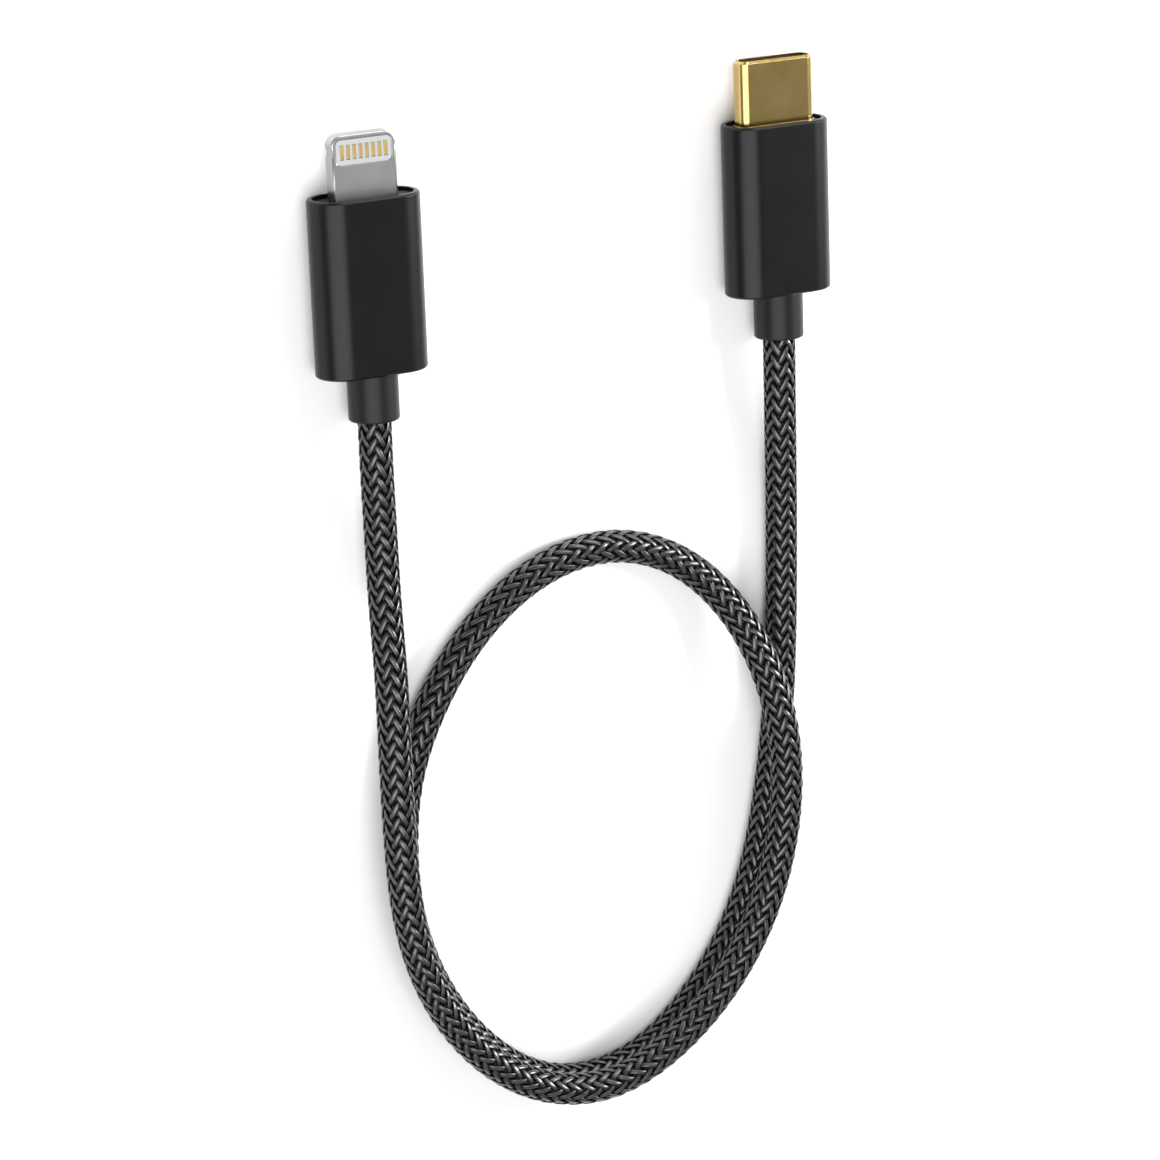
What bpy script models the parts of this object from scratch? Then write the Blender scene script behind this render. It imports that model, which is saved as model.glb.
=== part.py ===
"""A short braided charging cable with an eight-pin flat plug on one end and a USB-C plug on the other.

The cable lies on a surface at Z = 0. Both plugs lie on their wide faces and point along +Y, and the
cord between them makes one open loop towards -Y. The origin is on that surface, midway between the plugs.
"""

import math

import bpy
import numpy as np

MM = 0.001

# Places of the two plugs. Each is built along its own axis, with y = 0 at its sleeve's front rim.
PLUG_X = 22.2 * MM  # each plug's distance from the middle
EIGHT_PIN_RIM_Y = 6.70 * MM
TYPE_C_RIM_Y = 8.65 * MM

# Aluminium sleeve, its two end caps and the moulding inside it.
SLEEVE_WIDTH = 11.2 * MM
SLEEVE_HEIGHT = 5.6 * MM
SLEEVE_LENGTH = 17.0 * MM
SLEEVE_WALL = 0.55 * MM
SLEEVE_CHAMFER = 0.18 * MM
FIT_GAP = 0.03 * MM  # between pieces that sit in each other
CAP_THICKNESS = 1.3 * MM
EIGHT_PIN_RECESS = 0.35 * MM  # how far the mouth cap lies below the sleeve's rim
TYPE_C_RECESS = 0.30 * MM
MOULDING_END_Y = -15.5 * MM
POCKET_END_Y = -14.5 * MM
EIGHT_PIN_POCKET = (7.4 * MM, 2.6 * MM)
TYPE_C_POCKET = (8.8 * MM, 3.0 * MM)

# Strain-relief collar.
COLLAR_DIAMETER = 4.9 * MM
COLLAR_LENGTH = 4.6 * MM
COLLAR_ROUNDING = 0.2 * MM
COLLAR_NECK_DIAMETER = 3.2 * MM
CORD_SEAT_DIAMETER = 3.6 * MM
CORD_SEAT_DEPTH = 1.3 * MM

# Eight-pin tip.
TIP_WIDTH = 6.7 * MM
TIP_THICKNESS = 1.5 * MM
TIP_END_Y = 5.9 * MM
TIP_START_Y = -3.4 * MM
TIP_CORNER = 1.1 * MM
TIP_EDGE = 0.22 * MM
NOTCH_RADIUS = 0.8 * MM
NOTCH_FROM_END = 1.6 * MM
NOTCH_OUTSET = NOTCH_RADIUS - TIP_EDGE  # so the notch just reaches the flat face
SHALLOWEST_NOTCH = 0.999  # cosine of half the arc that is left of the notch at the flat face
WINDOW_WIDTH = 5.75 * MM
WINDOW_LENGTH = 2.45 * MM
WINDOW_CORNER = 0.5 * MM
WINDOW_FROM_END = 0.42 * MM
EIGHT_PIN_CONTACTS = 8
EIGHT_PIN_PITCH = 0.64 * MM
PAD_WIDTH = 0.33 * MM
PAD_LENGTH = 1.35 * MM
PAD_THICKNESS = 0.12 * MM

# USB-C shell and what is in it.
SHELL_WIDTH = 8.25 * MM
SHELL_HEIGHT = 2.40 * MM
SHELL_WALL = 0.28 * MM
SHELL_CORNER = 0.95 * MM
SHELL_END_Y = 6.25 * MM
SHELL_START_Y = -2.9 * MM
SHELL_CHAMFER = 0.14 * MM
FLANGE_WIDTH = 8.55 * MM
FLANGE_HEIGHT = 2.70 * MM
FLANGE_END_Y = -0.12 * MM
SLOT_WIDTH = 6.9 * MM
SLOT_HEIGHT = 0.84 * MM
INSULATOR_END_Y = 5.95 * MM
INSULATOR_START_Y = -2.4 * MM
TYPE_C_PITCH = 0.5 * MM
SPRING_WIDTH = 0.26 * MM
SPRING_THICKNESS = 0.10 * MM
SPRING_END_Y = 5.2 * MM
UPPER_CONTACTS = (-5, -4, -1, 0, 1, 4, 5)  # steps of the pitch from the middle
LOWER_CONTACTS = (-5, -4, 0, 4, 5)
LATCH_ARM_X = 3.22 * MM
LATCH_ARM_WIDTH = 0.3 * MM
LATCH_THICKNESS = 0.16 * MM
LATCH_ROOT = 0.8 * MM

# Circuit boards, chips and wires.
BOARD_WIDTH = 6.2 * MM
BOARD_THICKNESS = 0.6 * MM
BOARD_START_Y = -10.6 * MM
BOARD_FRONT_GAP = 0.1 * MM
CHIP_SIZE = (2.4 * MM, 2.0 * MM, 0.5 * MM)
WIRES = 4
WIRE_DIAMETER = 0.7 * MM
WIRE_PITCH = 1.15 * MM

# Cord. It starts in the eight-pin plug's collar, follows the route and ends in the USB-C plug's collar.
CORD_DIAMETER = 3.3 * MM
CORD_SEAT_GAP = 0.3 * MM
TUBE_POINTS = 80
ROUTE = (
    (-22.2, -19.5, 2.75), (-21.9, -26.0, 2.2), (-22.0, -33.0, 2.6), (-22.4, -40.5, 4.0),
    (-22.8, -48.5, 4.9), (-22.8, -57.0, 5.1), (-22.2, -65.0, 5.1), (-19.9, -73.0, 5.1),
    (-15.3, -80.2, 5.1), (-8.6, -85.3, 5.1), (-0.6, -86.7, 5.1), (6.9, -83.8, 5.1),
    (12.9, -78.6, 5.1), (17.3, -71.9, 5.1), (19.9, -64.0, 5.1), (20.5, -56.0, 5.1),
    (19.3, -48.0, 4.5), (16.2, -40.4, 2.8), (10.5, -34.5, 1.75), (2.5, -31.8, 1.65),
    (-5.3, -33.3, 1.65), (-11.9, -37.8, 1.65), (-16.9, -44.2, 1.65), (-20.1, -51.5, 1.65),
    (-21.1, -59.5, 1.65), (-20.4, -67.3, 1.65), (-17.5, -75.2, 1.65), (-12.5, -82.0, 1.65),
    (-5.2, -86.6, 1.65), (3.2, -86.4, 1.65), (10.4, -81.7, 1.65), (15.8, -74.6, 1.65),
    (19.0, -66.6, 1.65), (20.8, -58.0, 1.65), (21.9, -49.0, 1.65), (22.4, -39.5, 1.65),
    (22.6, -30.0, 1.75), (22.4, -21.5, 2.3),
)

ARC_STEPS = 8  # segments in each quarter of a rounded outline
ROUNDING_STEPS = 3  # segments across the collar's rounded edge
NOTCH_STEPS = 3  # segments in each half of a notch
SAME_POINT = 1e-7  # metres
SHARP_ANGLE = math.radians(30)
MATERIALS = {
    "anodised": ((0.012, 0.012, 0.013), 0.35, 0.6),
    "black_plastic": ((0.010, 0.010, 0.010), 0.45, 0.0),
    "collar_plastic": ((0.014, 0.014, 0.015), 0.5, 0.0),
    "nickel": ((0.55, 0.54, 0.52), 0.3, 1.0),
    "gold_shell": ((0.78, 0.56, 0.22), 0.25, 1.0),
    "gold_contact": ((0.83, 0.60, 0.28), 0.25, 1.0),
    "grey_insert": ((0.62, 0.62, 0.61), 0.5, 0.0),
    "insulator": ((0.02, 0.02, 0.02), 0.5, 0.0),
    "spring_steel": ((0.5, 0.5, 0.5), 0.3, 1.0),
    "moulding": ((0.75, 0.74, 0.70), 0.6, 0.0),
    "board": ((0.02, 0.12, 0.05), 0.5, 0.0),
    "chip": ((0.02, 0.02, 0.02), 0.4, 0.0),
    "wire": ((0.55, 0.05, 0.04), 0.5, 0.0),
    "braid": ((0.03, 0.03, 0.032), 0.6, 0.0),
}


def clear_scene():
    for obj in list(bpy.data.objects):
        bpy.data.objects.remove(obj, do_unlink=True)


def make_materials():
    made = {}
    for name, (colour, roughness, metallic) in MATERIALS.items():
        material = bpy.data.materials.new(name)
        material.use_nodes = True
        shader = material.node_tree.nodes["Principled BSDF"]
        shader.inputs["Base Color"].default_value = (*colour, 1.0)
        shader.inputs["Roughness"].default_value = roughness
        shader.inputs["Metallic"].default_value = metallic
        made[name] = material
    return made


def rounded_rectangle(width, height, radius):
    """Points of a rounded rectangle about the origin. A radius of half the height makes a stadium."""
    points = []
    for quarter in range(4):
        sign_x = (1, -1, -1, 1)[quarter]
        sign_y = (1, 1, -1, -1)[quarter]
        centre_x = sign_x * (width / 2 - radius)
        centre_y = sign_y * (height / 2 - radius)
        for step in range(ARC_STEPS + 1):
            angle = math.pi / 2 * (quarter + step / ARC_STEPS)
            points.append((centre_x + radius * math.cos(angle), centre_y + radius * math.sin(angle)))
    return points


def without_repeats(points):
    """Drops points that fall on their neighbour, as where two arcs of a stadium meet."""
    kept = []
    for point in points:
        if not kept or math.dist(point, kept[-1]) > SAME_POINT:
            kept.append(point)
    if math.dist(kept[0], kept[-1]) < SAME_POINT:
        kept.pop()
    return kept


def circle(diameter):
    count = 4 * ARC_STEPS
    return [
        (diameter / 2 * math.cos(math.tau * i / count), diameter / 2 * math.sin(math.tau * i / count))
        for i in range(count)
    ]


def new_object(name, vertices, faces, material, plug=None):
    mesh = bpy.data.meshes.new(name)
    mesh.from_pydata(vertices, [], faces)
    mesh.update()
    mesh.materials.append(material)
    mesh.shade_smooth()
    mesh.set_sharp_from_angle(angle=SHARP_ANGLE)
    obj = bpy.data.objects.new(name, mesh)
    bpy.context.scene.collection.objects.link(obj)
    obj.parent = plug
    return obj


def loft(name, rings, material, plug=None, closed=False):
    """A solid through rings of equally many points, capped at both ends.

    Where closed, its last ring joins its first instead, which makes a tube. Each ring runs anticlockwise
    as seen from where the rings lead to.
    """
    count = len(rings[0])
    vertices = [point for ring in rings for point in ring]
    faces = []
    for k in range(len(rings) if closed else len(rings) - 1):
        here = k * count
        there = (k + 1) % len(rings) * count
        for i in range(count):
            j = (i + 1) % count
            faces.append((here + i, here + j, there + j, there + i))
    if not closed:
        last = (len(rings) - 1) * count
        faces.append(tuple(reversed(range(count))))
        faces.append(tuple(range(last, last + count)))
    return new_object(name, vertices, faces, material, plug)


def along_y(outline, y):
    """The outline set across the plug's axis. Its order runs anticlockwise as seen from +Y."""
    return [(-x, y, z) for x, z in outline]


def along_z(outline, z):
    return [(x, y, z) for x, y in outline]


def stadium(width, height):
    return without_repeats(rounded_rectangle(width, height, height / 2))


def box(name, size, centre, material, plug=None):
    half_x, half_y, half_z = (side / 2 for side in size)
    corners = [(half_x, half_y), (-half_x, half_y), (-half_x, -half_y), (half_x, -half_y)]
    placed = [(centre[0] + x, centre[1] + y) for x, y in corners]
    rings = [along_z(placed, centre[2] - half_z), along_z(placed, centre[2] + half_z)]
    return loft(name, rings, material, plug)


def cut(obj, cutter):
    """Takes the cutter's shape out of the object."""
    cutter.hide_render = True
    cutter.display_type = "WIRE"
    modifier = obj.modifiers.new(cutter.name, "BOOLEAN")
    modifier.operation = "DIFFERENCE"
    modifier.solver = "EXACT"
    modifier.object = cutter


def plug_empty(name, x, rim_y):
    empty = bpy.data.objects.new(name, None)
    bpy.context.scene.collection.objects.link(empty)
    empty.location = (x, rim_y, SLEEVE_HEIGHT / 2)
    return empty


def make_sleeve(name, materials, plug):
    """A stadium tube, open at both ends, with small chamfers on its outer rims."""
    narrow = 2 * SLEEVE_CHAMFER
    outer = stadium(SLEEVE_WIDTH, SLEEVE_HEIGHT)
    rim = stadium(SLEEVE_WIDTH - narrow, SLEEVE_HEIGHT - narrow)
    inner = stadium(SLEEVE_WIDTH - 2 * SLEEVE_WALL, SLEEVE_HEIGHT - 2 * SLEEVE_WALL)
    rings = [
        along_y(inner, -SLEEVE_LENGTH),
        along_y(rim, -SLEEVE_LENGTH),
        along_y(outer, SLEEVE_CHAMFER - SLEEVE_LENGTH),
        along_y(outer, -SLEEVE_CHAMFER),
        along_y(rim, 0.0),
        along_y(inner, 0.0),
    ]
    return loft(name, rings, materials["anodised"], plug, closed=True)


def inside_sleeve():
    """The outline of a piece that fits in the sleeve."""
    shrink = 2 * (SLEEVE_WALL + FIT_GAP)
    return stadium(SLEEVE_WIDTH - shrink, SLEEVE_HEIGHT - shrink)


def make_mouth_cap(name, slot_width, slot_height, slot_corner, recess, materials, plug):
    """The plate in the sleeve's mouth that the tip or shell comes out of."""
    outline = rounded_rectangle(slot_width + 2 * FIT_GAP, slot_height + 2 * FIT_GAP, slot_corner)
    shrink = 2 * (SLEEVE_WALL + FIT_GAP)
    corner = SLEEVE_HEIGHT / 2 - SLEEVE_WALL - FIT_GAP - 10 * SAME_POINT
    outer = rounded_rectangle(SLEEVE_WIDTH - shrink, SLEEVE_HEIGHT - shrink, corner)
    rings = [
        along_y(outline, -recess - CAP_THICKNESS),
        along_y(outer, -recess - CAP_THICKNESS),
        along_y(outer, -recess),
        along_y(outline, -recess),
    ]
    return loft(name, rings, materials["black_plastic"], plug, closed=True)


def make_rear_cap(name, materials, plug):
    """The plate in the sleeve's rear end, with a round hole for the collar's neck."""
    front = MOULDING_END_Y - FIT_GAP
    rear = FIT_GAP - SLEEVE_LENGTH
    outer = inside_sleeve()
    cap = loft(name, [along_y(outer, rear), along_y(outer, front)], materials["black_plastic"], plug)
    hole = circle(COLLAR_NECK_DIAMETER + 2 * FIT_GAP)
    cutter_rings = [along_y(hole, rear - CAP_THICKNESS), along_y(hole, front + CAP_THICKNESS)]
    cut(cap, loft(f"{name}_hole", cutter_rings, materials["black_plastic"], plug))


def make_moulding(name, recess, pocket_width, pocket_height, materials, plug):
    """The inner moulding: a cup, open to the front, that holds the board and the wires."""
    outer = inside_sleeve()
    pocket = stadium(pocket_width, pocket_height)
    front = -recess - CAP_THICKNESS - FIT_GAP
    rings = [
        along_y(outer, MOULDING_END_Y),
        along_y(outer, front),
        along_y(pocket, front),
        along_y(pocket, POCKET_END_Y),
    ]
    return loft(name, rings, materials["moulding"], plug)


def make_collar(name, materials, plug):
    """The strain relief: a neck through the rear cap, a round body, and a seat that the cord enters."""
    top = -SLEEVE_LENGTH - FIT_GAP
    bottom = -SLEEVE_LENGTH - COLLAR_LENGTH
    neck = circle(COLLAR_NECK_DIAMETER)
    body = circle(COLLAR_DIAMETER)
    seat = circle(CORD_SEAT_DIAMETER)
    rings = [along_y(seat, bottom + CORD_SEAT_DEPTH), along_y(seat, bottom)]
    for step in range(ROUNDING_STEPS + 1):
        angle = math.pi / 2 * step / ROUNDING_STEPS
        diameter = COLLAR_DIAMETER - 2 * COLLAR_ROUNDING * (1 - math.sin(angle))
        rings.append(along_y(circle(diameter), bottom + COLLAR_ROUNDING * (1 - math.cos(angle))))
    rings += [along_y(body, top), along_y(neck, top), along_y(neck, MOULDING_END_Y - 2 * FIT_GAP)]
    return loft(name, rings, materials["collar_plastic"], plug)


def make_housing(prefix, recess, pocket, slot, materials, plug):
    """The pieces that both plugs have: sleeve, caps, moulding and collar."""
    make_sleeve(f"{prefix}_sleeve", materials, plug)
    make_mouth_cap(f"{prefix}_mouth_cap", *slot, recess, materials, plug)
    make_rear_cap(f"{prefix}_rear_cap", materials, plug)
    make_moulding(f"{prefix}_inner_moulding", recess, *pocket, materials, plug)
    make_collar(f"{prefix}_collar", materials, plug)


def make_electronics(prefix, board_front, materials, plug):
    """The circuit board with its chip, and the ends of the cord's wires behind it."""
    length = board_front - BOARD_START_Y
    middle = (board_front + BOARD_START_Y) / 2
    board_size = (BOARD_WIDTH, length, BOARD_THICKNESS)
    box(f"{prefix}_circuit_board", board_size, (0.0, middle, 0.0), materials["board"], plug)
    chip_z = BOARD_THICKNESS / 2 + FIT_GAP + CHIP_SIZE[2] / 2
    box(f"{prefix}_chip", CHIP_SIZE, (0.0, middle, chip_z), materials["chip"], plug)
    outline = circle(WIRE_DIAMETER)[::2]
    for number in range(WIRES):
        x = (number - (WIRES - 1) / 2) * WIRE_PITCH
        placed = [(px + x, pz) for px, pz in outline]
        rings = [along_y(placed, POCKET_END_Y + FIT_GAP), along_y(placed, BOARD_START_Y - FIT_GAP)]
        loft(f"{prefix}_wire_{number + 1}", rings, materials["wire"], plug)


def tip_outline(inset):
    """The eight-pin tip in plan, with rounded end corners and a round notch in each side."""
    half = TIP_WIDTH / 2 - inset
    end = TIP_END_Y - inset
    corner = TIP_CORNER - inset
    # The notch's circle is centred outside the side, so its cut is shallow.
    notch_x = TIP_WIDTH / 2 + NOTCH_OUTSET
    spread = math.acos(min((notch_x - half) / NOTCH_RADIUS, SHALLOWEST_NOTCH))
    right = [(half, TIP_START_Y)]
    for step in range(2 * NOTCH_STEPS + 1):
        angle = math.pi + spread * (1 - step / NOTCH_STEPS)
        notch_y = TIP_END_Y - NOTCH_FROM_END + NOTCH_RADIUS * math.sin(angle)
        right.append((min(notch_x + NOTCH_RADIUS * math.cos(angle), half), notch_y))
    for step in range(ARC_STEPS + 1):
        angle = math.pi / 2 * step / ARC_STEPS
        right.append((half - corner + corner * math.cos(angle), end - corner + corner * math.sin(angle)))
    left = [(-x, y) for x, y in reversed(right)]
    return right + left


def window_outline(shrink):
    outline = rounded_rectangle(WINDOW_WIDTH - 2 * shrink, WINDOW_LENGTH - 2 * shrink, WINDOW_CORNER)
    middle = TIP_END_Y - WINDOW_FROM_END - WINDOW_LENGTH / 2
    return [(x, y + middle) for x, y in outline]


def make_tip_frame(materials, plug):
    """The metal frame of the eight-pin tip, with softened edges and a window through it."""
    half = TIP_THICKNESS / 2
    rings = [
        along_z(tip_outline(TIP_EDGE), -half),
        along_z(tip_outline(0.0), TIP_EDGE - half),
        along_z(tip_outline(0.0), half - TIP_EDGE),
        along_z(tip_outline(TIP_EDGE), half),
    ]
    frame = loft("eight_pin_tip_frame", rings, materials["nickel"], plug)
    window = window_outline(0.0)
    cutter_rings = [along_z(window, -TIP_THICKNESS), along_z(window, TIP_THICKNESS)]
    cut(frame, loft("window_cutter", cutter_rings, materials["nickel"], plug))


def make_contact_insert(materials, plug):
    """The insert that fills the tip's window, and the eight flush contacts on each of its faces."""
    half = TIP_THICKNESS / 2 - FIT_GAP
    rings = [along_z(window_outline(FIT_GAP), -half), along_z(window_outline(FIT_GAP), half)]
    insert = loft("eight_pin_contact_insert", rings, materials["grey_insert"], plug)
    middle_y = TIP_END_Y - WINDOW_FROM_END - WINDOW_LENGTH / 2
    pocket_size = (PAD_WIDTH + 2 * FIT_GAP, PAD_LENGTH + 2 * FIT_GAP, 2 * (PAD_THICKNESS + FIT_GAP))
    for side, sign in (("front", 1), ("back", -1)):
        for number in range(EIGHT_PIN_CONTACTS):
            x = (number - (EIGHT_PIN_CONTACTS - 1) / 2) * EIGHT_PIN_PITCH
            name = f"eight_pin_contact_{side}_{number + 1}"
            pad_z = sign * (half - PAD_THICKNESS / 2)
            pad_size = (PAD_WIDTH, PAD_LENGTH, PAD_THICKNESS)
            box(name, pad_size, (x, middle_y, pad_z), materials["gold_contact"], plug)
            pocket_centre = (x, middle_y, sign * half)
            pocket = box(f"{name}_pocket", pocket_size, pocket_centre, materials["grey_insert"], plug)
            cut(insert, pocket)


def make_shell(materials, plug):
    """The USB-C plug's shell, a rounded tube with its mouth at the front, and the flange at its base."""
    narrow = 2 * SHELL_CHAMFER
    wide = 2 * SHELL_WALL
    outer = rounded_rectangle(SHELL_WIDTH, SHELL_HEIGHT, SHELL_CORNER)
    rim = rounded_rectangle(SHELL_WIDTH - narrow, SHELL_HEIGHT - narrow, SHELL_CORNER - SHELL_CHAMFER)
    inner = rounded_rectangle(SHELL_WIDTH - wide, SHELL_HEIGHT - wide, SHELL_CORNER - SHELL_WALL)
    rings = [
        along_y(inner, SHELL_START_Y),
        along_y(outer, SHELL_START_Y),
        along_y(outer, SHELL_END_Y - SHELL_CHAMFER),
        along_y(rim, SHELL_END_Y),
        along_y(inner, SHELL_END_Y),
    ]
    loft("type_c_shell", rings, materials["gold_shell"], plug, closed=True)
    hole = rounded_rectangle(SHELL_WIDTH + 2 * FIT_GAP, SHELL_HEIGHT + 2 * FIT_GAP, SHELL_CORNER)
    edge = rounded_rectangle(FLANGE_WIDTH, FLANGE_HEIGHT, SHELL_CORNER + FIT_GAP)
    base = FIT_GAP - TYPE_C_RECESS
    rings = [
        along_y(hole, base),
        along_y(edge, base),
        along_y(edge, FLANGE_END_Y),
        along_y(hole, FLANGE_END_Y),
    ]
    loft("type_c_flange", rings, materials["gold_shell"], plug, closed=True)


def make_insulator(materials, plug):
    """The plastic lining of the shell, with the slot that the socket's tongue enters."""
    shrink = 2 * (SHELL_WALL + FIT_GAP)
    corner = SHELL_CORNER - SHELL_WALL - FIT_GAP
    outer = rounded_rectangle(SHELL_WIDTH - shrink, SHELL_HEIGHT - shrink, corner)
    slot = rounded_rectangle(SLOT_WIDTH, SLOT_HEIGHT, SLOT_HEIGHT / 4)
    rings = [
        along_y(slot, INSULATOR_START_Y),
        along_y(outer, INSULATOR_START_Y),
        along_y(outer, INSULATOR_END_Y),
        along_y(slot, INSULATOR_END_Y),
    ]
    loft("type_c_insulator", rings, materials["insulator"], plug, closed=True)


def make_spring_contacts(materials, plug):
    """The flat spring contacts above and below the slot, as many as a USB 2.0 cable needs."""
    length = SPRING_END_Y - INSULATOR_START_Y
    middle = (SPRING_END_Y + INSULATOR_START_Y) / 2
    size = (SPRING_WIDTH, length, SPRING_THICKNESS)
    distance = SLOT_HEIGHT / 2 - FIT_GAP - SPRING_THICKNESS / 2
    for side, sign, places in (("upper", 1, UPPER_CONTACTS), ("lower", -1, LOWER_CONTACTS)):
        for number, step in enumerate(places):
            centre = (step * TYPE_C_PITCH, middle, sign * distance)
            box(f"type_c_contact_{side}_{number + 1}", size, centre, materials["gold_contact"], plug)


def make_latch(materials, plug):
    """The U-shaped middle plate whose two arms are the side latches."""
    outer = LATCH_ARM_X + LATCH_ARM_WIDTH / 2
    inner = LATCH_ARM_X - LATCH_ARM_WIDTH / 2
    root = INSULATOR_START_Y + LATCH_ROOT
    outline = [
        (outer, INSULATOR_START_Y),
        (outer, SPRING_END_Y),
        (inner, SPRING_END_Y),
        (inner, root),
        (-inner, root),
        (-inner, SPRING_END_Y),
        (-outer, SPRING_END_Y),
        (-outer, INSULATOR_START_Y),
    ]
    rings = [along_z(outline, -LATCH_THICKNESS / 2), along_z(outline, LATCH_THICKNESS / 2)]
    loft("type_c_latch_plate", rings, materials["spring_steel"], plug)


def make_eight_pin_plug(materials):
    plug = plug_empty("eight_pin_plug", -PLUG_X, EIGHT_PIN_RIM_Y)
    slot = (TIP_WIDTH, TIP_THICKNESS, TIP_EDGE)
    make_housing("eight_pin", EIGHT_PIN_RECESS, EIGHT_PIN_POCKET, slot, materials, plug)
    make_tip_frame(materials, plug)
    make_contact_insert(materials, plug)
    make_electronics("eight_pin", TIP_START_Y - BOARD_FRONT_GAP, materials, plug)


def make_type_c_plug(materials):
    plug = plug_empty("type_c_plug", PLUG_X, TYPE_C_RIM_Y)
    slot = (SHELL_WIDTH, SHELL_HEIGHT, SHELL_CORNER)
    make_housing("type_c", TYPE_C_RECESS, TYPE_C_POCKET, slot, materials, plug)
    make_shell(materials, plug)
    make_insulator(materials, plug)
    make_spring_contacts(materials, plug)
    make_latch(materials, plug)
    make_electronics("type_c", SHELL_START_Y - BOARD_FRONT_GAP, materials, plug)


def cord_ends():
    """Where the cord starts and ends, just short of the bottom of each collar's seat."""
    inside = CORD_SEAT_DEPTH - CORD_SEAT_GAP
    reach = SLEEVE_LENGTH + COLLAR_LENGTH - inside
    height = SLEEVE_HEIGHT / 2
    return (-PLUG_X, EIGHT_PIN_RIM_Y - reach, height), (PLUG_X, TYPE_C_RIM_Y - reach, height)


def smooth_curve(route, count):
    """Points at equal steps along the cubic spline through the route.

    The curve leaves and reaches its ends along the plugs' axes, and never dips into the surface it lies on.
    """
    places = np.array(route)
    gaps = np.linalg.norm(np.diff(places, axis=0), axis=1)
    knots = np.concatenate(([0.0], np.cumsum(gaps)))
    slopes = np.diff(places, axis=0) / gaps[:, None]
    first, last = np.array((0.0, -1.0, 0.0)), np.array((0.0, 1.0, 0.0))
    system = np.zeros((len(places), len(places)))
    right = np.zeros_like(places)
    system[0, :2] = 2 * gaps[0], gaps[0]
    system[-1, -2:] = gaps[-1], 2 * gaps[-1]
    right[0] = 6 * (slopes[0] - first)
    right[-1] = 6 * (last - slopes[-1])
    for i in range(1, len(places) - 1):
        system[i, i - 1 : i + 2] = gaps[i - 1], 2 * (gaps[i - 1] + gaps[i]), gaps[i]
        right[i] = 6 * (slopes[i] - slopes[i - 1])
    bends = np.linalg.solve(system, right)
    points = []
    for at in np.linspace(0.0, knots[-1], count):
        i = min(max(int(np.searchsorted(knots, at)) - 1, 0), len(gaps) - 1)
        gap, before, after = gaps[i], at - knots[i], knots[i + 1] - at
        x, y, z = (
            (bends[i] * after**3 + bends[i + 1] * before**3) / (6 * gap)
            + (places[i] / gap - bends[i] * gap / 6) * after
            + (places[i + 1] / gap - bends[i + 1] * gap / 6) * before
        )
        points.append((x, y, max(z, CORD_DIAMETER / 2)))
    return points


def make_cord(materials):
    start, end = cord_ends()
    route = [start, *(tuple(value * MM for value in point) for point in ROUTE), end]
    curve = bpy.data.curves.new("cord", "CURVE")
    curve.dimensions = "3D"
    curve.bevel_depth = CORD_DIAMETER / 2
    curve.bevel_resolution = 2
    curve.use_fill_caps = True
    spline = curve.splines.new("POLY")
    points = smooth_curve(route, TUBE_POINTS)
    spline.points.add(len(points) - 1)
    for place, point in zip(spline.points, points):
        place.co = (*point, 1.0)
    curve.materials.append(materials["braid"])
    obj = bpy.data.objects.new("cord", curve)
    bpy.context.scene.collection.objects.link(obj)


def main():
    clear_scene()
    materials = make_materials()
    make_eight_pin_plug(materials)
    make_type_c_plug(materials)
    make_cord(materials)


main()
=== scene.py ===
"""The looks of a short braided charging cable with an eight-pin plug and a USB-C plug.

The plugs are built about their sleeves' front rims, with +Y to the tips. The cord is woven from flat
strands around a round core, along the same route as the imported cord.
"""

import math

import bmesh
import bpy
import numpy as np
from mathutils import Matrix, Vector


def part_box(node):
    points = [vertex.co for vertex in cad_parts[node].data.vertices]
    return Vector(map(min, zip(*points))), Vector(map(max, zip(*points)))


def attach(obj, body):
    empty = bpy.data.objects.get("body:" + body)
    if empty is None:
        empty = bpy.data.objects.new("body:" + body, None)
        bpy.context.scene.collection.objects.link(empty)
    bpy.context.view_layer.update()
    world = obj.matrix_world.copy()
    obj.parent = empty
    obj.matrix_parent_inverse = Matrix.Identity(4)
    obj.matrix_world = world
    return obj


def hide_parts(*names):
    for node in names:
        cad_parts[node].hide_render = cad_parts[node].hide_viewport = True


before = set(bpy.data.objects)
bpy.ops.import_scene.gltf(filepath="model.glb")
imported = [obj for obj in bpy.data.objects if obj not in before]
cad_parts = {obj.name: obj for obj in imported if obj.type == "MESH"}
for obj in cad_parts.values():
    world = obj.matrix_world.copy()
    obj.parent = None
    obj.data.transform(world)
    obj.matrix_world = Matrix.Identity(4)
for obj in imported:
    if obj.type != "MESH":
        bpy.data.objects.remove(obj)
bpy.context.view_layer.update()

MM = 0.001

# Camera. It looks down on the cable from beyond the plugs' tips and to their left.
CAMERA_YAW = math.radians(27.0)
CAMERA_PITCH = math.radians(16.0)
CAMERA_ROLL = math.radians(2.2)
CAMERA_TARGET = Vector((0.43, -35.23, 0.0)) * MM
CAMERA_DISTANCE = 0.420
CAMERA_LENS = 131.6
SENSOR_WIDTH = 36.0

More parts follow.
